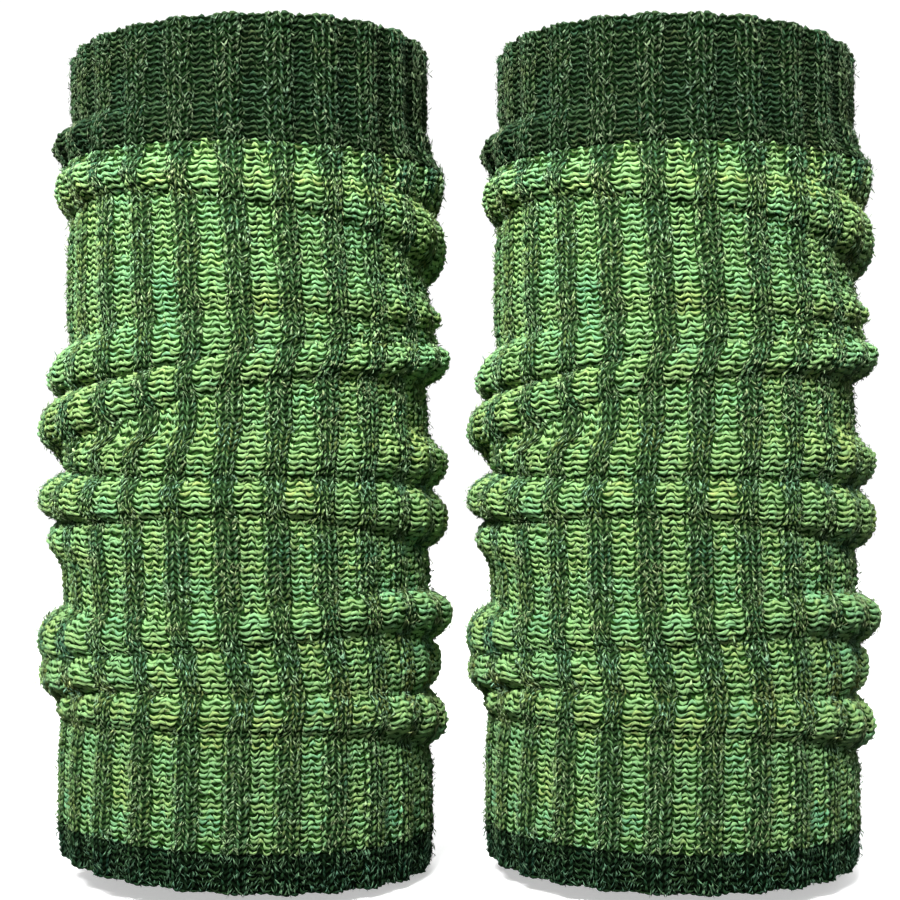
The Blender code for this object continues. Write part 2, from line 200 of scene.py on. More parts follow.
# Name, kind, slide of the ribs in degrees, heights above the hem and bulges past the purl radius,
# both in mm and by station, from the left side by way of the front
FOLD_ROWS = (
    ("cuff rim", "flat", 0.6, (280.6, 280.6, 280.6, 280.6, 280.6, 280.6, 280.6, 280.6),
     (-1.2, -0.9, -0.7, -0.5, -0.3, -0.5, -0.8, -1.1)),
    ("cuff middle", "flat", 0.8, (264.0, 264.0, 264.0, 264.0, 264.0, 264.0, 264.0, 264.0),
     (-1.3, -1.0, -0.8, -0.6, -0.4, -0.6, -0.9, -1.2)),
    ("cuff above its roll", "crease", 1.0,
     (254.5, 254.0, 253.0, 253.0, 254.0, 254.0, 254.0, 254.5),
     (-1.0, -0.8, -0.6, -0.5, 0.0, -0.4, -0.8, -1.0)),
    ("cuff roll", "crest", 1.2, (248.3, 247.5, 247.0, 247.0, 249.0, 248.5, 247.5, 248.0),
     (5.3, 2.2, 0.0, 0.0, 1.6, 2.0, 3.0, 4.4)),
    ("cuff edge", "flat", 1.5, (240.3, 240.3, 240.3, 240.3, 240.3, 240.3, 240.3, 240.3),
     (1.7, 1.5, 0.8, 1.5, 6.0, 3.0, 0.5, 1.0)),
    ("dip under the cuff", "crease", 1.9,
     (237.9, 237.5, 235.0, 230.5, 225.0, 228.5, 235.0, 237.2),
     (1.8, 1.6, 1.0, 0.8, 3.5, 1.5, 0.3, 0.8)),
    ("first crest", "crest", 2.4, (234.8, 232.3, 226.0, 220.5, 215.8, 219.5, 226.0, 231.5),
     (3.8, 3.8, 3.4, 3.6, 6.7, 5.2, 4.2, 3.7)),
    ("first crease", "crease", 2.5, (222.0, 226.0, 221.0, 213.5, 200.8, 209.0, 218.0, 223.5),
     (0.0, 0.0, 0.0, 0.3, 0.0, 0.0, 0.0, 0.0)),
    ("upper flat", "flat", 3.6, (206.0, 208.0, 205.0, 201.0, 196.5, 200.5, 206.0, 207.5),
     (0.0, 0.0, 0.0, 0.0, 0.7, 0.2, 0.0, 0.0)),
    ("second crest", "crest", 4.1, (190.0, 196.0, 196.0, 190.3, 189.6, 193.0, 196.0, 193.0),
     (0.2, 1.2, 2.6, 3.3, 4.2, 2.2, 3.0, 1.4)),
    ("second crease", "crease", 4.9, (177.5, 181.5, 186.5, 184.9, 184.7, 186.0, 183.5, 179.5),
     (0.0, 0.3, 0.4, 0.8, 2.5, 0.5, 0.0, 0.0)),
    ("hanging lip", "crest", 5.7, (165.7, 170.7, 176.3, 180.9, 181.9, 179.5, 173.5, 168.0),
     (7.0, 4.8, 1.8, 1.2, 3.8, 1.5, 3.2, 5.2)),
    ("crease under the lip", "crease", 4.6,
     (160.9, 165.2, 173.2, 177.8, 179.6, 176.2, 168.0, 162.5),
     (3.2, 0.0, 0.2, 1.0, 5.4, 1.0, 0.2, 0.5)),
    ("third crest", "crest", 2.7, (148.5, 158.6, 169.8, 171.8, 176.2, 170.5, 160.5, 152.5),
     (10.3, 5.3, 3.8, 4.5, 8.3, 5.8, 4.3, 6.3)),
    ("third crease", "crease", 0.9, (143.4, 150.0, 162.5, 166.8, 166.3, 162.5, 154.0, 146.5),
     (8.0, 1.2, 0.3, 0.2, 0.7, 0.3, 0.0, 2.0)),
    ("middle flat", "flat", 1.1, (140.7, 146.5, 150.0, 152.0, 150.5, 151.0, 148.0, 143.0),
     (4.5, 2.2, 0.3, 0.3, 0.0, 0.0, 0.3, 1.8)),
    ("fourth crest", "crest", 0.3, (138.2, 142.0, 138.2, 141.0, 139.5, 140.0, 141.0, 139.8),
     (2.2, 3.8, 3.2, 3.8, 6.8, 4.7, 3.7, 2.7)),
    ("fourth crease", "crease", -0.3, (135.6, 132.8, 132.1, 132.0, 128.8, 130.0, 133.0, 135.0),
     (0.7, 0.0, 0.0, 0.0, 2.5, 1.0, 0.0, 0.3)),
    ("fifth crest", "crest", -0.6, (125.2, 124.2, 126.2, 120.8, 118.1, 119.5, 123.0, 125.2),
     (10.6, 5.3, 3.6, 4.3, 6.8, 5.3, 4.3, 7.2)),
    ("fifth crease", "crease", 0.0, (118.1, 118.2, 120.8, 114.5, 107.4, 112.0, 117.0, 118.3),
     (4.2, 0.8, 0.2, 0.2, 1.0, 0.3, 0.2, 1.5)),
    ("small left bulge", "crest", 0.6,
     (111.0, 112.4, 113.5, 107.5, 102.4, 106.0, 111.0, 111.7),
     (6.6, 1.9, 0.2, 0.2, 0.9, 0.2, 1.0, 3.6)),
    ("lower flat", "flat", 0.6, (98.8, 100.0, 100.5, 99.5, 97.8, 97.8, 99.5, 99.0),
     (1.6, 0.3, 0.2, 0.2, 1.0, 0.2, 0.2, 0.6)),
    ("dip above the sixth crest", "crease", 1.2,
     (88.3, 87.8, 90.5, 94.5, 92.8, 91.2, 90.3, 88.7),
     (2.5, 0.4, 0.2, 0.2, 1.2, 0.3, 0.2, 0.8)),
    ("sixth crest", "crest", 1.4, (76.3, 80.0, 84.2, 89.6, 84.7, 84.0, 82.3, 78.3),
     (11.0, 3.4, 3.6, 4.5, 9.7, 6.3, 4.3, 6.7)),
    ("sixth crease", "crease", 2.8, (70.2, 74.8, 78.0, 81.2, 75.1, 76.2, 76.2, 72.6),
     (9.6, 0.8, 0.3, 0.4, 2.8, 1.0, 0.3, 3.8)),
    ("seventh crest", "crest", 4.2, (64.0, 68.8, 69.5, 70.4, 68.1, 69.2, 69.2, 66.3),
     (10.0, 4.4, 1.8, 1.0, 5.3, 3.2, 3.2, 6.2)),
    ("seventh crease", "crease", 5.6, (57.2, 62.6, 63.0, 60.6, 57.4, 60.0, 62.2, 60.0),
     (7.1, 0.0, 0.2, 0.4, 1.0, 0.3, 0.2, 1.5)),
    ("eighth crest", "crest", 5.4, (53.7, 57.6, 56.9, 53.3, 46.8, 51.0, 55.2, 55.8),
     (3.9, 4.0, 3.5, 4.5, 6.4, 4.8, 3.8, 3.7)),
    ("eighth crease", "crease", 3.8, (49.3, 50.8, 50.3, 46.5, 38.0, 42.8, 48.3, 49.6),
     (2.8, 0.5, 0.3, 0.4, 1.8, 0.6, 0.5, 1.0)),
    ("lower leg", "flat", 3.6, (27.0, 27.0, 27.0, 27.0, 27.0, 27.0, 27.0, 27.0),
     (3.3, 1.8, 1.0, 1.2, 1.8, 1.2, 1.0, 1.8)),
    ("hem seam", "flat", 3.0, (12.0, 12.0, 12.0, 12.0, 12.0, 12.0, 12.0, 12.0),
     (3.4, 2.0, 1.2, 1.4, 1.8, 1.4, 1.2, 2.0)),
    ("hem edge", "flat", 3.0, (0.0, 0.0, 0.0, 0.0, 0.0, 0.0, 0.0, 0.0),
     (2.4, 1.4, 0.7, 0.8, 1.2, 0.8, 0.7, 1.4)),
)
row_names = [row[0] for row in FOLD_ROWS]
row_is_crest = np.array([row[1] == "crest" for row in FOLD_ROWS], dtype=float)
row_is_crease = np.array([row[1] == "crease" for row in FOLD_ROWS], dtype=float)
row_slides = np.radians([row[2] for row in FOLD_ROWS])
row_heights = np.array([row[3] for row in FOLD_ROWS])
row_bulges = np.array([row[4] for row in FOLD_ROWS])
# On the left of the front, the ribs are pushed sideways at the first crest and below the third one
KINKS = {"first crest": -3.0, "third crest": 2.0, "third crease": 6.0, "middle flat": 6.0,
         "fourth crest": 1.5}
KINK_ANGLE = math.radians(-43)
KINK_SPREAD = math.radians(24)
row_kinks = np.radians([KINKS.get(name, 0.0) for name in row_names])
# Edge of a purl column, in shares of a rib from its middle, and how much its puffs differ
COLUMN_EDGE = 0.25
LEAST_PUFF, MOST_PUFF = 0.60, 1.18
chance = np.random.default_rng(24)
puff_by_rib = chance.uniform(LEAST_PUFF, MOST_PUFF, (len(FOLD_ROWS), RIBS))


def around(table, row, angle):
    """Values of a row at an angle, on a smooth closed curve through the eight stations."""
    place = (angle + math.pi / 2) / (2 * math.pi) * STATIONS
    first = np.floor(place).astype(int)
    t = place - first
    before, start, end, after = (table[row, (first + step) % STATIONS] for step in (-1, 0, 1, 2))
    return (start * (2 * t**3 - 3 * t**2 + 1) + (end - before) / 2 * (t**3 - 2 * t**2 + t)
            + end * (3 * t**2 - 2 * t**3) + (after - start) / 2 * (t**3 - t**2))


def fold_depth(angle):
    """Share of its full depth that a fold has at an angle."""
    from_front = np.abs((angle + math.pi) % (2 * math.pi) - math.pi)
    t = np.clip((FRONT_EDGE - from_front) / FRONT_BLEND, 0.0, 1.0)
    return 1 - FRONT_SOFTENING * (3 * t**2 - 2 * t**3)


def rib_puff(row, rib_place):
    """Chance strength of a crest's puff at a rib, blended between ribs behind the knit columns."""
    first = np.floor(rib_place).astype(int)
    t = np.clip((rib_place - first - COLUMN_EDGE) / (1 - 2 * COLUMN_EDGE), 0.0, 1.0)
    t = 3 * t**2 - 2 * t**3
    return puff_by_rib[row, first % RIBS] * (1 - t) + puff_by_rib[row, (first + 1) % RIBS] * t


# A crest puffs its purl columns up, fully at this bulge in mm, and less where it is a thick roll. A
# crease pinches its knit columns in, fully where it lies this many mm behind its crest
FULL_PUFF_BULGE = 4.0
PUFF_LIMIT = 1.15
ROLL_BULGE, ROLL_RANGE, ROLL_LOSS = 6.0, 5.0, 0.13
FULL_PINCH_DROP = 4.5


def cloth_at(level, angle, rib_place):
    """Height, bulge, puff and pinch of the cloth at a level of the fold table and an angle."""
    upper = np.clip(np.floor(level).astype(int), 0, len(FOLD_ROWS) - 2)
    lower = upper + 1
    t = level - upper
    leaving = SLOPE_AT_CREASE * row_is_crease[upper] * (t**3 - 2 * t**2 + t)
    arriving = SLOPE_AT_CREASE * row_is_crease[lower] * (t**3 - t**2)
    share = 3 * t**2 - 2 * t**3 + leaving + arriving

    def puff_and_pinch(row):
        bulge = around(row_bulges, row, angle)
        puff = (np.clip(bulge / FULL_PUFF_BULGE, 0.0, PUFF_LIMIT)
                - ROLL_LOSS * np.clip(bulge - ROLL_BULGE, 0.0, ROLL_RANGE))
        puff = puff * row_is_crest[row] * rib_puff(row, rib_place)
        above = around(row_bulges, np.maximum(row - 1, 0), angle)
        below = around(row_bulges, np.minimum(row + 1, len(FOLD_ROWS) - 1), angle)
        drop = np.maximum(above, below) - bulge
        return bulge, puff, np.clip(drop / FULL_PINCH_DROP, 0.0, 1.0) * row_is_crease[row]

    upper_bulge, upper_puff, upper_pinch = puff_and_pinch(upper)
    lower_bulge, lower_puff, lower_pinch = puff_and_pinch(lower)
    upper_height = around(row_heights, upper, angle)
    lower_height = around(row_heights, lower, angle)
    height = upper_height + (lower_height - upper_height) * t
    return (height, (upper_bulge + (lower_bulge - upper_bulge) * share) * fold_depth(angle),
            upper_puff + (lower_puff - upper_puff) * share,
            upper_pinch + (lower_pinch - upper_pinch) * share)


# Half the width of a purl column as it lies, and what a full puff adds to it, in shares of a rib
PURL_HALF, PURL_WIDENS = 0.24, 0.11


def rib_angle(level, rib_place, puff):
    """Angle of a place across the ribs: a purl column is wider where a crest puffs it up."""
    upper = np.clip(np.floor(level).astype(int), 0, len(FOLD_ROWS) - 2)
    slide = row_slides[upper] + (row_slides[upper + 1] - row_slides[upper]) * (level - upper)
    nearest = np.round(rib_place)
    off = rib_place - nearest
    half = PURL_HALF + PURL_WIDENS * np.clip(puff, 0.0, 1.0)
    inside = off * half / COLUMN_EDGE
    outside = np.sign(off) * (0.5 - (0.5 - np.abs(off)) * (0.5 - half) / COLUMN_EDGE)
    warped = nearest + np.where(np.abs(off) <= COLUMN_EDGE, inside, outside)
    angle = 2 * math.pi * warped / RIBS + slide
    from_kink = (angle - KINK_ANGLE + math.pi) % (2 * math.pi) - math.pi
    kink = row_kinks[upper] + (row_kinks[upper + 1] - row_kinks[upper]) * (level - upper)
    return angle + kink * np.exp(-(from_kink / KINK_SPREAD) ** 2)


# Profile of a rib. The knit column rises from its edge to its middle, and the purl column is a low
# crown. Heights are in mm, at full puff or full pinch, and the inside has flatter ribs
KNIT_EDGE, KNIT_HALF, KNIT_ROUNDING = 0.17, 0.33, 0.8
PURL_REACH = 0.28
RIB_LOSS_ON_CREST = 0.85
KNIT_PINCH, PURL_PINCH = 2.1, 0.4
PURL_CROWN, PURL_PUFF = 0.1, 2.2
INNER_RIB, INNER_PINCH, INNER_PUFF = 1.1, 1.52, 0.5


def cloth_surface(level, rib_place, side):
    """Points of the outer or inner face of the knitted wall, in mm about the tube's axis."""
    rough_angle = 2 * math.pi * rib_place / RIBS
    puff = cloth_at(level, rough_angle, rib_place)[2]
    angle = rib_angle(level, rib_place, puff)
    height, bulge, puff, pinch = cloth_at(level, angle, rib_place)
    off = np.abs(rib_place - np.round(rib_place))
    knit = np.sin(math.pi / 2 * np.clip((off - KNIT_EDGE) / KNIT_HALF, 0.0, 1.0)) ** KNIT_ROUNDING
    purl = np.cos(math.pi / 2 * np.clip(off / PURL_REACH, 0.0, 1.0))
    puff, pinch = puff * fold_depth(angle), pinch * fold_depth(angle)
    if side == "outer":
        relief = (knit * (RIB_HEIGHT * (1 - RIB_LOSS_ON_CREST * puff) - KNIT_PINCH * pinch)
                  + purl * (PURL_CROWN + PURL_PUFF * puff - PURL_PINCH * pinch))
    else:
        relief = knit * (INNER_RIB - INNER_PINCH * pinch) - WALL + purl * INNER_PUFF * puff
    radius = PURL_RADIUS + bulge + relief
    return np.stack((radius * np.sin(angle), -radius * np.cos(angle), height), axis=-1)


# Each tube stands off the middle of the pair, in mm, and is turned inwards, in degrees. Its soft
# ends lean: how far in mm the cuff and the hem tilt at one side
OFF_MIDDLE = {"left": -75.3, "right": 75.3}
TURNS = {"left": 7.2, "right": -7.2}
LEANS = {"left": (3.0, 3.4), "right": (-1.8, 0.0)}


def stand(points, side):
    """Points of one leg warmer where it stands in the pair, in metres."""
    across, depth, height = points[..., 0], points[..., 1], points[..., 2]
    cuff_lean, hem_lean = LEANS[side]
    cuff_share = np.maximum(height - CUFF_LEAN_STARTS, 0.0) / (TUBE_HEIGHT - CUFF_LEAN_STARTS)
    hem_share = np.maximum(HEM_LEAN_STARTS - height, 0.0) / HEM_LEAN_STARTS
    lean = (cuff_lean * cuff_share - hem_lean * hem_share) * across / PURL_RADIUS
    turn = math.radians(TURNS[side])
    return np.stack((across * math.cos(turn) - depth * math.sin(turn) + OFF_MIDDLE[side],
                     across * math.sin(turn) + depth * math.cos(turn),
                     height + lean - HOLD_HEIGHT), axis=-1) * MM


# The knit is counted in stitch rows, about 2 mm deep along the cloth, so each place on it has a
# rib number and a row number. A fine map of each zone turns them into a point and a direction out.

ROW_PITCH = 2.0
RIB_PITCH = 2 * math.pi * PURL_RADIUS / RIBS
MAP_COLUMNS_PER_RIB = 16
MAP_STEPS_PER_ROW = 5
LEVEL_STEPS = 24


def zone_map(top_name, bottom_name, top_lift, bottom_lift):
    """Stitch rows, levels, points and outward directions over one knitted zone."""
    top, bottom = row_names.index(top_name), row_names.index(bottom_name)
    levels = np.linspace(top, bottom, (bottom - top) * LEVEL_STEPS + 1)
    places = np.arange(RIBS * MAP_COLUMNS_PER_RIB) / MAP_COLUMNS_PER_RIB
    level_grid, place_grid = np.meshgrid(levels, places, indexing="ij")
    height, bulge = cloth_at(level_grid, 2 * math.pi * place_grid / RIBS, place_grid)[:2]
    steps = np.hypot(np.diff(height, axis=0), np.diff(bulge, axis=0))
    lengths = np.vstack((np.zeros(len(places)), np.cumsum(steps, axis=0)))
    rows = int(round(lengths[-1].mean() / ROW_PITCH))
    share = np.linspace(0.0, 1.0, rows * MAP_STEPS_PER_ROW + 1)
    level_map = np.stack([np.interp(share * lengths[-1, k], lengths[:, k], levels)
                          for k in range(len(places))], axis=1)
    points = cloth_surface(level_map, np.broadcast_to(places, level_map.shape), "outer")
    lifts = np.zeros_like(level_map)
    lifts[0], lifts[-1] = top_lift, bottom_lift
    points[..., 2] += lifts
    down = np.gradient(points, axis=0)
    right = np.roll(points, -1, axis=1) - np.roll(points, 1, axis=1)
    out = np.cross(down, right)
    out /= np.linalg.norm(out, axis=-1, keepdims=True)
    return {"rows": rows, "levels": level_map, "points": points, "out": out}


ZONES = {
    "cuff": zone_map("cuff rim", "cuff edge", 0.0, SEAM_GAP / 2),
    "leg": zone_map("cuff edge", "hem seam", -SEAM_GAP / 2, SEAM_GAP / 2),
    "hem": zone_map("hem seam", "hem edge", -SEAM_GAP / 2, 0.0),
}


def on_map(values, rib_place, row_place):
    """Values of a zone's map at places between its points."""
    column = rib_place * MAP_COLUMNS_PER_RIB
    first_column = np.floor(column).astype(int)
    s = column - first_column
    row = row_place * MAP_STEPS_PER_ROW
    first_row = np.clip(np.floor(row).astype(int), 0, values.shape[0] - 2)
    t = row - first_row
    if values.ndim == 3:
        s, t = s[..., None], t[..., None]
    left, right = first_column % values.shape[1], (first_column + 1) % values.shape[1]
    return ((values[first_row, left] * (1 - s) + values[first_row, right] * s) * (1 - t)
            + (values[first_row + 1, left] * (1 - s) + values[first_row + 1, right] * s) * t)


def on_cloth(zone, rib_place, row_place, lift):
    """Points at rib and row places, lifted off the cloth by some mm."""
    out = on_map(zone["out"], rib_place, row_place)
    out /= np.linalg.norm(out, axis=-1, keepdims=True)
    return on_map(zone["points"], rib_place, row_place) + out * np.asarray(lift)[..., None]


def cloth_piece(name, side, points, faces, map_name, flat_places, numbers, material):
    """Mesh object of one side, with a UV map in metres and a number at each point for each name."""
    mesh = bpy.data.meshes.new(name)
    points = stand(points.reshape(-1, 3), side)
    mesh.vertices.add(len(points))
    mesh.vertices.foreach_set("co", points.ravel())
    corners = faces.shape[1]
    mesh.loops.add(faces.size)
    mesh.loops.foreach_set("vertex_index", faces.ravel().astype(np.int32))
    mesh.polygons.add(len(faces))
    mesh.polygons.foreach_set("loop_start", np.arange(0, faces.size, corners, dtype=np.int32))
    mesh.update(calc_edges=True)
    mesh.polygons.foreach_set("use_smooth", np.ones(len(faces), dtype=bool))
    layer = mesh.uv_layers.new(name=map_name)
    layer.data.foreach_set("uv", (flat_places.reshape(-1, 2) * MM)[faces.ravel()].ravel())
    for number_name, values in numbers.items():
        attribute = mesh.attributes.new(number_name, "FLOAT", "POINT")
        attribute.data.foreach_set("value", values.ravel().astype(np.float32))
    mesh.validate()
    mesh.materials.append(material)
    piece = bpy.data.objects.new(name, mesh)
    scene.collection.objects.link(piece)
    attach(piece, "root")
    return piece


# The yarns. All are carded wool, soft-spun and brushed: matt, hairy and uneven in colour. The light
# one drifts between yellow-green and mint, and the dark ones between bottle green, olive and teal.

FIBRE_STEP = 0.32    # the real fibres are ten times finer, so bundles of them are drawn
FIBRE_CONTRAST = 2.8


def yarn_material(name, tints, deep, bright):
    """Wool with a tint and a shade for each stitch, streaked by its fibres along the strand."""
    material = plain_material(name)
    tree = material.node_tree
    strand = add_node(tree, "ShaderNodeUVMap", uv_map="strand")
    tint = add_node(tree, "ShaderNodeAttribute", attribute_name="tint")
    ramp = add_node(tree, "ShaderNodeValToRGB", {"Fac": tint.outputs["Fac"]})
    ramp.color_ramp.elements[0].color = linear(tints[0])
    ramp.color_ramp.elements[1].color = linear(tints[2])
    middle = ramp.color_ramp.elements.new(0.5)
    middle.color = linear(tints[1])
    lengthwise = add_node(tree, "ShaderNodeMapping", {
        "Vector": strand.outputs["UV"], "Scale": (0.25, 1.0, 1.0)})
    fibres = add_node(tree, "ShaderNodeTexNoise", {
        "Vector": lengthwise.outputs["Vector"], "Scale": 1.0 / (FIBRE_STEP * MM), "Detail": 3.0,
        "Roughness": 0.65})
    streaks = add_node(tree, "ShaderNodeMath", {
        0: fibres.outputs["Fac"], 1: FIBRE_CONTRAST}, operation="MULTIPLY")
    shade = add_node(tree, "ShaderNodeAttribute", attribute_name="shade")
    both = add_node(tree, "ShaderNodeMath", {
        0: streaks.outputs["Value"], 1: shade.outputs["Fac"]}, operation="ADD")
    level = add_node(tree, "ShaderNodeMapRange", {
        "Value": both.outputs["Value"], "From Min": 1.15, "From Max": 2.65,
        "To Min": deep, "To Max": bright})
    grey = add_node(tree, "ShaderNodeCombineColor", {
        "Red": level.outputs["Result"], "Green": level.outputs["Result"],
        "Blue": level.outputs["Result"]})
    colour = add_node(tree, "ShaderNodeMix", {
        "Factor": 1.0, "A": ramp.outputs["Color"], "B": grey.outputs["Color"]},
        data_type="RGBA", blend_type="MULTIPLY")
    bump = add_node(tree, "ShaderNodeBump", {
        "Height": fibres.outputs["Fac"], "Strength": 0.7, "Distance": 0.35 * MM})
    shader = add_node(tree, "ShaderNodeBsdfPrincipled", {
        "Base Color": colour.outputs["Result"], "Roughness": 0.9, "Specular IOR Level": 0.04,
        "Normal": bump.outputs["Normal"]})
    add_node(tree, "ShaderNodeOutputMaterial", {"Surface": shader.outputs["BSDF"]})
    return material


light_wool = yarn_material("light_green_carded_wool", ("#A8C070", "#90BC7A", "#7CBA8A"), 0.62, 1.14)
dark_wool = yarn_material("dark_green_carded_wool", ("#6E7D46", "#597A48", "#467356"), 0.45, 1.52)
cuff_wool = yarn_material("bottle_green_carded_wool", ("#4B5A38", "#3E5638", "#31523C"), 0.30, 1.55)
edge_wool = yarn_material("darkest_green_carded_wool", ("#293F23", "#213B23", "#1B392A"), 0.20, 1.60)
dark_hair = yarn_material("dark_green_wool_hairs", ("#98AA78", "#8AA87C", "#7AA888"), 0.40, 1.60)
cuff_hair = yarn_material("bottle_green_wool_hairs", ("#72805F", "#677B5C", "#5A775F"), 0.40, 1.50)
edge_hair = yarn_material("darkest_green_wool_hairs", ("#66845C", "#5C8062", "#507E68"), 0.35, 1.50)
light_hair = yarn_material("light_green_wool_hairs", ("#C8D890", "#B4D898", "#9CD6A8"), 0.45, 1.20)


# The knitted walls: cuff, leg and hem of each leg warmer. Each is a closed soft shell of rib knit,
# ribs out on the outside and the other way round inside, with rounded rims. The yarn loops lie on
# it, and it shows between them as the depth of the knit, its colours darkened as painted shade.

WALL_COLUMNS_PER_RIB = 6


def inner_points(zone, places, row):
    """Points of the inside of the wall, level with the outside at a row."""
    row_places = np.full_like(places, row)
    level = on_map(zone["levels"], places, row_places)
    points = cloth_surface(level, places, "inner")
    lift = on_map(zone["points"], places, row_places) - cloth_surface(level, places, "outer")
    points[..., 2] += lift[..., 2]
    return points


RIM_RISE, RIM_RIB_RISE = 0.3, 0.6


def rim_rise(places):
    """How far a rim rounds past its last row at places round the tube, in mm: most over a rib."""
    return RIM_RISE + RIM_RIB_RISE * np.sin(math.pi * places) ** 2


def wall_rings(zone, top_round, bottom_round):
    """Rings of a closed wall: outside from top to bottom, bottom rim, inside and top rim."""
    rows = zone["rows"]
    outer_rows = np.arange(rows + 1.0)
    inner_rows = np.arange(rows, -0.5, -2.0)
    if inner_rows[-1] > 0:
        inner_rows = np.append(inner_rows, 0.0)
    places = np.arange(RIBS * WALL_COLUMNS_PER_RIB) / WALL_COLUMNS_PER_RIB

    def ring(row):
        return on_map(zone["points"], places, np.full_like(places, row))

    outside = [ring(row) for row in outer_rows]
    inside = [inner_points(zone, places, row) for row in inner_rows]
    bottom_middle = (outside[-1] + inside[0]) / 2
    bottom_middle[:, 2] -= bottom_round * rim_rise(places)
    top_middle = (outside[0] + inside[-1]) / 2
    top_middle[:, 2] += top_round * rim_rise(places)
    points = np.stack(outside + [bottom_middle] + inside + [top_middle])
    row_place = np.concatenate((outer_rows, [rows], inner_rows, [0.0]))
    is_inner = np.concatenate((np.zeros(len(outer_rows)), [0.5], np.ones(len(inner_rows)), [0.5]))
    across, along = np.broadcast_arrays(places[None, :] * RIB_PITCH,
                                        -row_place[:, None] * ROW_PITCH)
    return points, np.stack((across, along), axis=-1), is_inner[:, None] + 0 * across


def wall_faces(rings, columns):
    """Quads over a closed band of rings, round both ways."""
    ring, column = np.meshgrid(np.arange(rings), np.arange(columns), indexing="ij")
    following_ring, following_column = (ring + 1) % rings, (column + 1) % columns
    return np.stack((ring * columns + column, following_ring * columns + column,
                     following_ring * columns + following_column,
                     ring * columns + following_column), axis=-1).reshape(-1, 4)


ZIGZAGS_PER_RIB = 4      # a stitch row is seen as a zigzag that rises by a share of its depth
ZIGZAG_RISE = 0.3
FUZZ_STEP = 0.4          # mm, coarser than real fuzz, so that it shows


def wall_material(name, outer_purl, outer_knit, inner_purl, inner_knit):
    """Rib knit ground: stripes that follow the ribs in yarn colours darkened as painted shade, with
    rows of stitches as bump and as painted shade between them.
    """
    material = plain_material(name)
    tree = material.node_tree
    inside = add_node(tree, "ShaderNodeAttribute", attribute_name="inside")
    knit = add_node(tree, "ShaderNodeUVMap", uv_map="knit")
    axes = add_node(tree, "ShaderNodeSeparateXYZ", {"Vector": knit.outputs["UV"]})
    turns = add_node(tree, "ShaderNodeMath", {
        0: axes.outputs["X"], 1: 2 * math.pi / (RIB_PITCH * MM)}, operation="MULTIPLY")
    wave = add_node(tree, "ShaderNodeMath", {0: turns.outputs["Value"]}, operation="COSINE")
    purl = add_node(tree, "ShaderNodeMapRange", {
        "Value": wave.outputs["Value"], "From Min": -0.25, "From Max": 0.25})
    outer = add_node(tree, "ShaderNodeMix", {
        "Factor": purl.outputs["Result"], "A": linear(outer_knit), "B": linear(outer_purl)},
        data_type="RGBA")
    inner = add_node(tree, "ShaderNodeMix", {
        "Factor": purl.outputs["Result"], "A": linear(inner_purl), "B": linear(inner_knit)},
        data_type="RGBA")
    ground = add_node(tree, "ShaderNodeMix", {
        "Factor": inside.outputs["Fac"], "A": outer.outputs["Result"], "B": inner.outputs["Result"]},
        data_type="RGBA")
    slant = add_node(tree, "ShaderNodeMath", {
        0: axes.outputs["X"], 1: 2 * math.pi * ZIGZAGS_PER_RIB / (RIB_PITCH * MM)},
        operation="MULTIPLY")
    zigzag = add_node(tree, "ShaderNodeMath", {0: slant.outputs["Value"]}, operation="SINE")
    bent = add_node(tree, "ShaderNodeMath", {
        0: zigzag.outputs["Value"], 1: ZIGZAG_RISE * ROW_PITCH * MM}, operation="MULTIPLY")
    lifted = add_node(tree, "ShaderNodeMath", {
        0: axes.outputs["Y"], 1: bent.outputs["Value"]}, operation="ADD")
    rows = add_node(tree, "ShaderNodeMath", {
        0: lifted.outputs["Value"], 1: 2 * math.pi / (ROW_PITCH * MM)}, operation="MULTIPLY")
    loops = add_node(tree, "ShaderNodeMath", {0: rows.outputs["Value"]}, operation="SINE")
    hairs = add_node(tree, "ShaderNodeTexNoise", {
        "Vector": knit.outputs["UV"], "Scale": 1.0 / (FUZZ_STEP * MM), "Detail": 4.0,
        "Roughness": 0.7})
    height = add_node(tree, "ShaderNodeMath", {
        0: loops.outputs["Value"], 1: hairs.outputs["Fac"]}, operation="ADD")
    # Painted shade in the gaps between the stitch rows, mottled by the fuzz noise
    row_gap_shade_and_fuzz = add_node(tree, "ShaderNodeMapRange", {
        "Value": height.outputs["Value"], "From Min": -0.6, "From Max": 1.8,
        "To Min": 0.35, "To Max": 1.3})
    grey = add_node(tree, "ShaderNodeCombineColor", {
        "Red": row_gap_shade_and_fuzz.outputs["Result"], "Green": row_gap_shade_and_fuzz.outputs["Result"], "Blue": row_gap_shade_and_fuzz.outputs["Result"]})
    colour = add_node(tree, "ShaderNodeMix", {
        "Factor": 1.0, "A": ground.outputs["Result"], "B": grey.outputs["Color"]},
        data_type="RGBA", blend_type="MULTIPLY")
    bump = add_node(tree, "ShaderNodeBump", {
        "Height": height.outputs["Value"], "Strength": 0.8, "Distance": 0.5 * MM})
    shader = add_node(tree, "ShaderNodeBsdfPrincipled", {
        "Base Color": colour.outputs["Result"], "Roughness": 0.95, "Specular IOR Level": 0.02,
        "Normal": bump.outputs["Normal"]})
    add_node(tree, "ShaderNodeOutputMaterial", {"Surface": shader.outputs["BSDF"]})
    return material


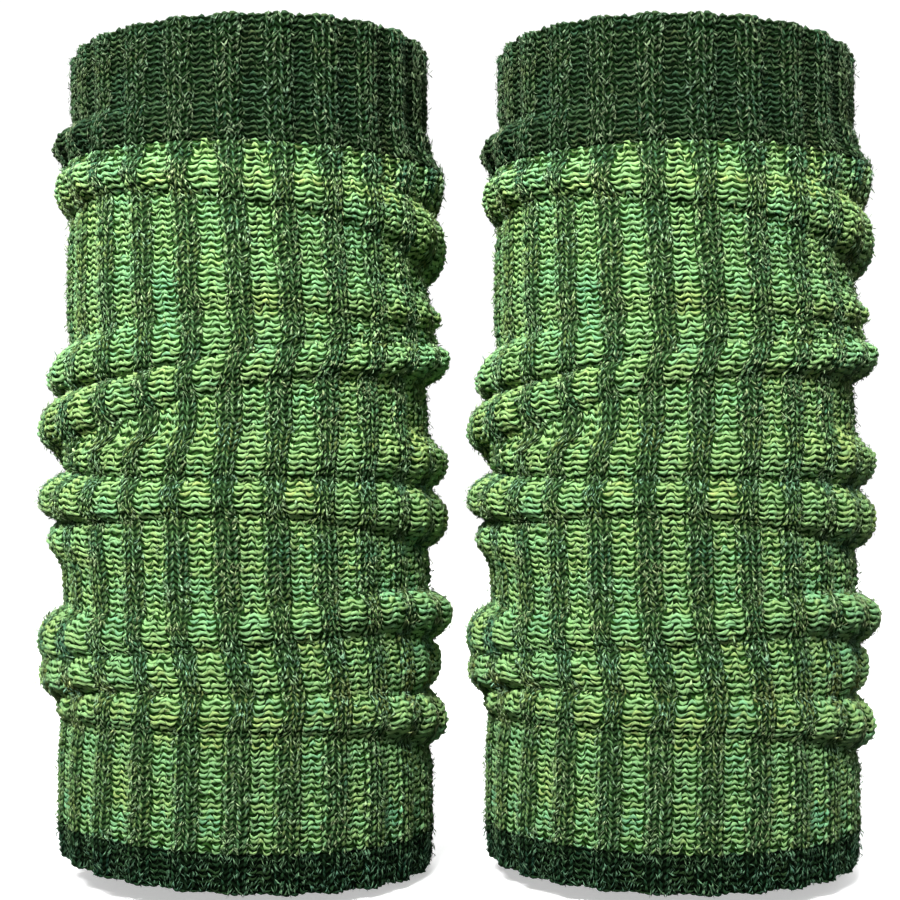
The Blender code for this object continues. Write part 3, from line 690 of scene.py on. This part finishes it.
# The grounds are the yarns' colours darkened as painted shade of the knit's depth; the leg's outer
# purl ground is the light yarn's shaded depth behind its loops.
wall_grounds_painted_shade = {
    "cuff": wall_material("cuff_ground_painted_shade", "#0E200C", "#152A12", "#213A22", "#29482C"),
    "leg": wall_material("leg_two_tone_ground_painted_shade", "#2B4C1E", "#284322", "#294625", "#739F5C"),
    "hem": wall_material("hem_ground_painted_shade", "#061206", "#0A180A", "#18301C", "#1E3A24"),
}
RIM_ROUND = {"cuff": (1.0, 0.0), "leg": (0.0, 0.0), "hem": (0.0, 1.0)}
for zone_name, zone in ZONES.items():
    rings, flat_places, is_inner = wall_rings(zone, *RIM_ROUND[zone_name])
    faces = wall_faces(*rings.shape[:2])
    for side in ("left", "right"):
        wall = cloth_piece(f"{side}_{zone_name}_knit_wall", side, rings, faces, "knit",
                           flat_places, {"inside": is_inner}, wall_grounds_painted_shade[zone_name])
        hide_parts(f"{side}_{zone_name}")


# The stitches. A loop of soft yarn shows as a short plump lump: a crescent on the purl columns
# and a slanted leg on the knit ones. Each is modelled once and copied with chance differences.

def lump_shape(kind):
    """Places along, across and off one lump of yarn, from -1 to 1, and its closed faces."""
    if kind == "crescent":
        along = np.array((-1.0, -0.55, -0.55, -0.55, 0.0, 0.0, 0.0, 0.55, 0.55, 0.55, 1.0))
        across = np.array((0.0, -0.75, 0.0, 0.75, -1.0, 0.0, 1.0, -0.75, 0.0, 0.75, 0.0))
        off = np.array((0.0, 0.0, 0.85, 0.0, 0.0, 1.0, 0.0, 0.0, 0.85, 0.0, 0.0))
        faces = np.array((
            (0, 2, 1), (0, 3, 2), (0, 1, 3),
            (1, 2, 5), (1, 5, 4), (2, 3, 6), (2, 6, 5), (3, 1, 4), (3, 4, 6),
            (4, 5, 8), (4, 8, 7), (5, 6, 9), (5, 9, 8), (6, 4, 7), (6, 7, 9),
            (7, 8, 10), (8, 9, 10), (9, 7, 10)))
    elif kind == "roll":
        sides, tops = (-1.0, -0.7, 0.0, 0.7, 1.0), (0.0, 0.75, 1.0, 0.75, 0.0)
        along = np.array((-1.0,) + 5 * (-0.5,) + 5 * (0.5,) + (1.0,))
        across = np.array((0.0,) + 2 * sides + (0.0,))
        off = np.array((0.0,) + 2 * tops + (0.0,))
        ring = np.arange(5)
        after = (ring + 1) % 5
        faces = np.concatenate([np.stack(corners, axis=1) for corners in (
            (0 * ring, after + 1, ring + 1), (ring + 1, after + 1, after + 6),
            (ring + 1, after + 6, ring + 6), (ring + 6, after + 6, 0 * ring + 11))])
    elif kind == "leg":
        along = np.array((-1.0, 0.0, 0.0, 0.0, 1.0))
        across = np.array((0.0, -1.0, 0.0, 1.0, 0.0))
        off = np.array((0.0, 0.0, 1.0, 0.0, 0.0))
        faces = np.array(((0, 2, 1), (0, 3, 2), (0, 1, 3), (1, 2, 4), (2, 3, 4), (3, 1, 4)))
    else:
        along = np.array((-1.0, 0.0, 0.0, 1.0))
        across = np.array((0.0, -1.0, 1.0, 0.0))
        off = np.array((0.0, 0.7, 0.7, 1.0))
        faces = np.array(((0, 2, 1), (1, 2, 3), (0, 1, 3), (0, 3, 2)))
    return along, across, off, faces


def faces_out(points, shape_faces):
    """Faces of many copies of a closed shape, turned round on each copy that came out inside out."""
    from_middle = (points - points.mean(axis=1, keepdims=True))[:, shape_faces]
    first, second, third = (from_middle[:, :, corner] for corner in range(3))
    volumes = (first * np.cross(second, third)).sum(axis=(1, 2))
    faces = np.where(volumes[:, None, None] < 0, shape_faces[None, :, ::-1], shape_faces[None])
    return (faces + points.shape[1] * np.arange(len(points))[:, None, None]).reshape(-1, 3)


PATCH_ROWS = 7
COURSE_TINT, PATCH_TINT, STITCH_TINT = 0.13, 0.12, 0.10
OWN_COURSE, COURSE_SPREAD = 1.4, 1.9    # a course's weight beside its neighbours, and their spread


def course_tint(zone, seed, rib_place, row_place):
    """Tint of the yarn, which changes from course to course and slowly round the tube."""
    draw = np.random.default_rng(seed)
    rows = zone["rows"] + 2
    courses = draw.normal(0.0, 1.0, rows + 2)
    courses = (courses[:-2] + OWN_COURSE * courses[1:-1] + courses[2:]) / COURSE_SPREAD
    patches = draw.normal(0.0, 1.0, (rows // PATCH_ROWS + 2, RIBS))
    row = np.clip(row_place, 0, rows - 1)
    upper, rib = np.floor(row / PATCH_ROWS).astype(int), np.round(rib_place).astype(int) % RIBS
    t = row / PATCH_ROWS - upper
    patch = patches[upper, rib] * (1 - t) + patches[upper + 1, rib] * t
    return (0.5 + COURSE_TINT * courses[row.astype(int)] + PATCH_TINT * patch
            + draw.normal(0.0, STITCH_TINT, len(rib)))


STRAND_STEP = 3.0    # mm from one stitch to the next along the fibre pattern, so that no two match


def lumps(zone, kind, rib_place, row_place, size, tilt, bend, sunk, shade, tint):
    """Mesh arrays of many lumps of yarn: sizes in mm, tilt in degrees from along a row."""
    along, across, off, shape_faces = lump_shape(kind)
    count = len(rib_place)
    length, width, height, tilt, bend = (
        np.broadcast_to(np.asarray(v, dtype=float), (count,))[:, None] for v in (*size, tilt, bend))
    tilt = np.radians(tilt)
    run = along * length / 2
    side = across * width / 2 + bend * (0.5 - along**2)
    right = run * np.cos(tilt) - side * np.sin(tilt)
    down = run * np.sin(tilt) + side * np.cos(tilt)
    points = on_cloth(zone, rib_place[:, None] + right / RIB_PITCH,
                      row_place[:, None] + down / ROW_PITCH, off * height - sunk)
    corners = len(along)
    strand_starts = STRAND_STEP * np.arange(count)[:, None]
    return {
        "points": points.reshape(-1, 3), "faces": faces_out(points, shape_faces),
        "places": np.stack((run + strand_starts, across * width / 2 + off * height), axis=-1),
        "shade": np.repeat(shade, corners), "tint": np.repeat(tint, corners)}


def join_lumps(parts):
    """One set of mesh arrays from several."""
    counts = np.cumsum([0] + [len(part["points"]) for part in parts])
    joined = {key: np.concatenate([part[key].reshape(len(part["points"]), -1) for part in parts])
              for key in ("points", "places", "shade", "tint")}
    joined["faces"] = np.concatenate([part["faces"] + n for part, n in zip(parts, counts)])
    return joined


LOOP_SUNK = 0.25     # mm of a loop that lie in the cloth
SIDE_LOOP = 2.25     # mm from the middle of a purl column to its outer crescents


def purl_column(zone, seed, width, curve, brightness=0.55, first_row_centre_only=False,
                last_row_sides_only=False):
    """Crescents of a purl column: two hanging ones and, half a row higher, one arched one."""
    draw = np.random.default_rng(seed)
    rib, row = np.meshgrid(np.arange(RIBS), np.arange(zone["rows"]), indexing="ij")
    rib, row = rib.ravel().astype(float), row.ravel() + 0.5
    parts = []
    for offset, lift, bend, kind in ((-SIDE_LOOP, 0.0, curve, "side"),
                                     (0.0, -0.5, -curve, "centre"),
                                     (SIDE_LOOP, 0.0, curve, "side")):
        keep = np.ones(len(rib), dtype=bool)
        if kind == "side" and first_row_centre_only:
            keep &= row > 1
        if kind == "centre" and last_row_sides_only:
            keep &= row < zone["rows"] - 1
        n = int(keep.sum())
        place = rib[keep] + (offset + draw.normal(0.0, 0.14, n)) / RIB_PITCH
        depth = row[keep] + lift + draw.normal(0.0, 0.09, n)
        size = (draw.normal(3.5, 0.3, n), draw.normal(width, 0.18, n), draw.normal(0.82, 0.14, n))
        parts.append(lumps(zone, "crescent", place, depth, size, draw.normal(0.0, 12.0, n),
                           bend * draw.normal(1.0, 0.22, n), LOOP_SUNK,
                           np.clip(draw.normal(brightness, 0.26, n), 0.0, 1.1),
                           course_tint(zone, seed, rib[keep], row[keep] + lift)))
    return parts


EDGE_LEG = 4.6       # mm from the middle of a purl column to the legs along its right edge
EDGE_TILT = -64.0


def edge_legs(zone, seed, every):
    """Slanted legs along the right edge of a purl column, where the yarn crosses to the next row."""
    draw = np.random.default_rng(seed)
    rib, row = np.meshgrid(np.arange(RIBS), np.arange(0, zone["rows"], every), indexing="ij")
    rib, row = rib.ravel().astype(float), row.ravel() + 0.6
    n = len(rib)
    place = rib + (EDGE_LEG + draw.normal(0.0, 0.15, n)) / RIB_PITCH
    size = (draw.normal(4.0, 0.3, n), draw.normal(1.25, 0.12, n), draw.normal(1.4, 0.15, n))
    return [lumps(zone, "leg", place, row + draw.normal(0.0, 0.15, n), size,
                  EDGE_TILT + draw.normal(0.0, 7.0, n), 0.0, LOOP_SUNK,
                  np.clip(draw.normal(0.75, 0.25, n), 0.0, 1.2),
                  course_tint(zone, seed - 1, rib, row))]


def knit_column(zone, seed, tilt, spread):
    """Slanted legs of a knit column, four across: a V for each of its two stitches."""
    draw = np.random.default_rng(seed)
    rib, row, leg = np.meshgrid(np.arange(RIBS), np.arange(zone["rows"]), np.arange(4),
                                indexing="ij")
    rib, row, leg = rib.ravel().astype(float), row.ravel() + 0.5, leg.ravel()
    n = len(rib)
    place = rib + 0.5 + spread * (leg - 1.5) / 4 + draw.normal(0.0, 0.010, n)
    size = (draw.normal(3.7, 0.35, n), draw.normal(1.2, 0.16, n),
            draw.normal(0.9, 0.15, n) + np.where(leg == 3, 0.35, 0.0))
    return [lumps(zone, "leg", place, row + draw.normal(0.0, 0.15, n), size,
                  np.where(leg % 2 == 0, tilt, -tilt) + draw.normal(0.0, 8.0, n), 0.0, LOOP_SUNK,
                  np.clip(draw.normal(0.45, 0.28, n), 0.0, 1.2), course_tint(zone, seed, rib, row))]


def first_dark_loops(zone, seed):
    """Dark crescents beside each first light arch, where the cuff's yarn hangs into the leg."""
    draw = np.random.default_rng(seed)
    rib = np.tile(np.arange(RIBS, dtype=float), 2)
    n = len(rib)
    place = rib + np.repeat((-SIDE_LOOP, SIDE_LOOP), RIBS) / RIB_PITCH
    size = (draw.normal(3.4, 0.3, n), draw.normal(1.7, 0.1, n), draw.normal(1.0, 0.1, n))
    return [lumps(zone, "crescent", place, draw.normal(0.45, 0.08, n), size,
                  draw.normal(0.0, 8.0, n), 1.2, LOOP_SUNK, draw.uniform(0.1, 0.5, n),
                  draw.uniform(0.2, 0.8, n))]


def rim_map(zone, end):
    """Map over a rim, from the outside to the inside, two stitch rows deep."""
    places = np.arange(RIBS * MAP_COLUMNS_PER_RIB) / MAP_COLUMNS_PER_RIB
    row = 0.0 if end == "top" else float(zone["rows"])
    outside = on_map(zone["points"], places, np.full_like(places, row))
    inside = inner_points(zone, places, row)
    middle, half = (outside + inside) / 2, (outside - inside) / 2
    away = np.array((0.0, 0.0, 1.0 if end == "top" else -1.0))
    turns = np.linspace(0.0, math.pi, 2 * MAP_STEPS_PER_ROW + 1)[:, None, None]
    points = middle + half * np.cos(turns) + rim_rise(places)[:, None] * away * np.sin(turns)
    out = half / np.linalg.norm(half, axis=-1, keepdims=True) * np.cos(turns) + away * np.sin(turns)
    if end == "bottom":
        points, out = points[::-1], out[::-1]
    return {"points": points, "out": out}


RIM_LOOPS_PER_RIB = 6
RIM_TILT = 78.0


def rim_loops(zone, end, seed):
    """Loops of the cast-on or cast-off edge, which wrap over the rim of the wall."""
    draw = np.random.default_rng(seed)
    n = RIBS * RIM_LOOPS_PER_RIB
    place = np.arange(n) / RIM_LOOPS_PER_RIB + draw.normal(0.0, 0.008, n)
    size = (draw.normal(4.4, 0.3, n), draw.normal(2.9, 0.25, n), draw.normal(1.0, 0.15, n))
    return [lumps(rim_map(zone, end), "roll", place, draw.normal(1.0, 0.06, n), size,
                  RIM_TILT + draw.normal(0.0, 12.0, n), 0.0, 0.3,
                  np.clip(draw.normal(0.5, 0.25, n), 0.0, 1.2), draw.uniform(0.2, 0.8, n))]


KNIT_LEG_STEP = 0.13         # from one leg of a knit column to the next, in shares of a rib
ASTRAY, STANDING = 0.2, 0.2  # shares of the hairs that cross their leg and that stand up


def hairs(zone, seed, count, middle, spread, length, rise, low):
    """Loose strands of the wool, thin bowed spikes that mostly lie along the legs of the knit."""
    draw = np.random.default_rng(seed)
    rib = draw.integers(0, RIBS, count).astype(float)
    across = middle + draw.uniform(-spread, spread, count)
    place = rib + across
    depth = draw.uniform(-0.1, zone["rows"] + 0.1, count)
    leg_slant = np.where(np.round((across - 0.5) / KNIT_LEG_STEP + 1.5) % 2 == 0, 1.0, -1.0)
    astray = draw.uniform(0.0, 1.0, count) < ASTRAY
    slant = np.where(astray, -leg_slant, leg_slant)
    tilt = slant * draw.normal(66.0, 13.0, count) + draw.choice((0.0, 180.0), count)
    standing = draw.uniform(0.0, 1.0, count) < STANDING
    size = (length * draw.uniform(0.6, 1.4, count) * np.where(standing, 0.6, 1.0),
            draw.uniform(0.08, 0.18, count),
            rise * draw.gamma(2.0, 0.5, count) + np.where(standing, 1.0, 0.0))
    return [lumps(zone, "hair", place, depth, size, tilt, draw.normal(0.0, 0.3, count), -low,
                  np.clip(draw.normal(0.5, 0.35, count), 0.0, 1.3),
                  course_tint(zone, seed, rib, depth))]


cuff, leg, hem = ZONES["cuff"], ZONES["leg"], ZONES["hem"]
STITCHES = (
    # The cuff's purl loops are drawn darker than its knit legs, as painted shade of their recess
    # between the raised knit ribs.
    ("cuff_purl_loops", "cuff",
     purl_column(cuff, seed=11, width=1.6, curve=1.7, brightness=0.25)
     + rim_loops(cuff, "top", seed=23), cuff_wool),
    ("cuff_knit_loops", "cuff", knit_column(cuff, seed=12, tilt=72.0, spread=0.54), cuff_wool),
    ("leg_light_loops", "leg",
     purl_column(leg, seed=71, width=1.95, curve=1.85, first_row_centre_only=True,
                 last_row_sides_only=True)
     + edge_legs(leg, seed=72, every=2), light_wool),
    ("leg_dark_loops", "leg",
     knit_column(leg, seed=16, tilt=66.0, spread=0.52) + first_dark_loops(leg, seed=24), dark_wool),
    ("hem_purl_loops", "hem",
     purl_column(hem, seed=17, width=1.6, curve=1.7, brightness=0.4)
     + rim_loops(hem, "bottom", seed=25), edge_wool),
    ("hem_knit_loops", "hem", knit_column(hem, seed=18, tilt=72.0, spread=0.54), edge_wool),
    ("cuff_hairs", "cuff",
     hairs(cuff, seed=19, count=4300, middle=0.5, spread=0.32, length=2.8, rise=0.35, low=0.45),
     cuff_hair),
    ("leg_dark_hairs", "leg",
     hairs(leg, seed=20, count=21500, middle=0.5, spread=0.3, length=2.4, rise=0.4, low=0.45),
     dark_hair),
    ("leg_light_hairs", "leg",
     hairs(leg, seed=21, count=2500, middle=0.0, spread=0.3, length=2.0, rise=0.5, low=0.45),
     light_hair),
    ("hem_hairs", "hem",
     hairs(hem, seed=22, count=1900, middle=0.5, spread=0.5, length=2.8, rise=0.45, low=0.4),
     edge_hair),
)
with_wall = {}
for loop_name, zone_name, parts, yarn in STITCHES:
    mesh_arrays = join_lumps(parts)
    for side in ("left", "right"):
        loops = cloth_piece(f"{side}_{loop_name}", side, mesh_arrays["points"],
                            mesh_arrays["faces"], "strand", mesh_arrays["places"],
                            {"shade": mesh_arrays["shade"], "tint": mesh_arrays["tint"]}, yarn)
        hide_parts(f"{side}_{zone_name}")
        with_wall.setdefault((side, zone_name), []).append(loops)
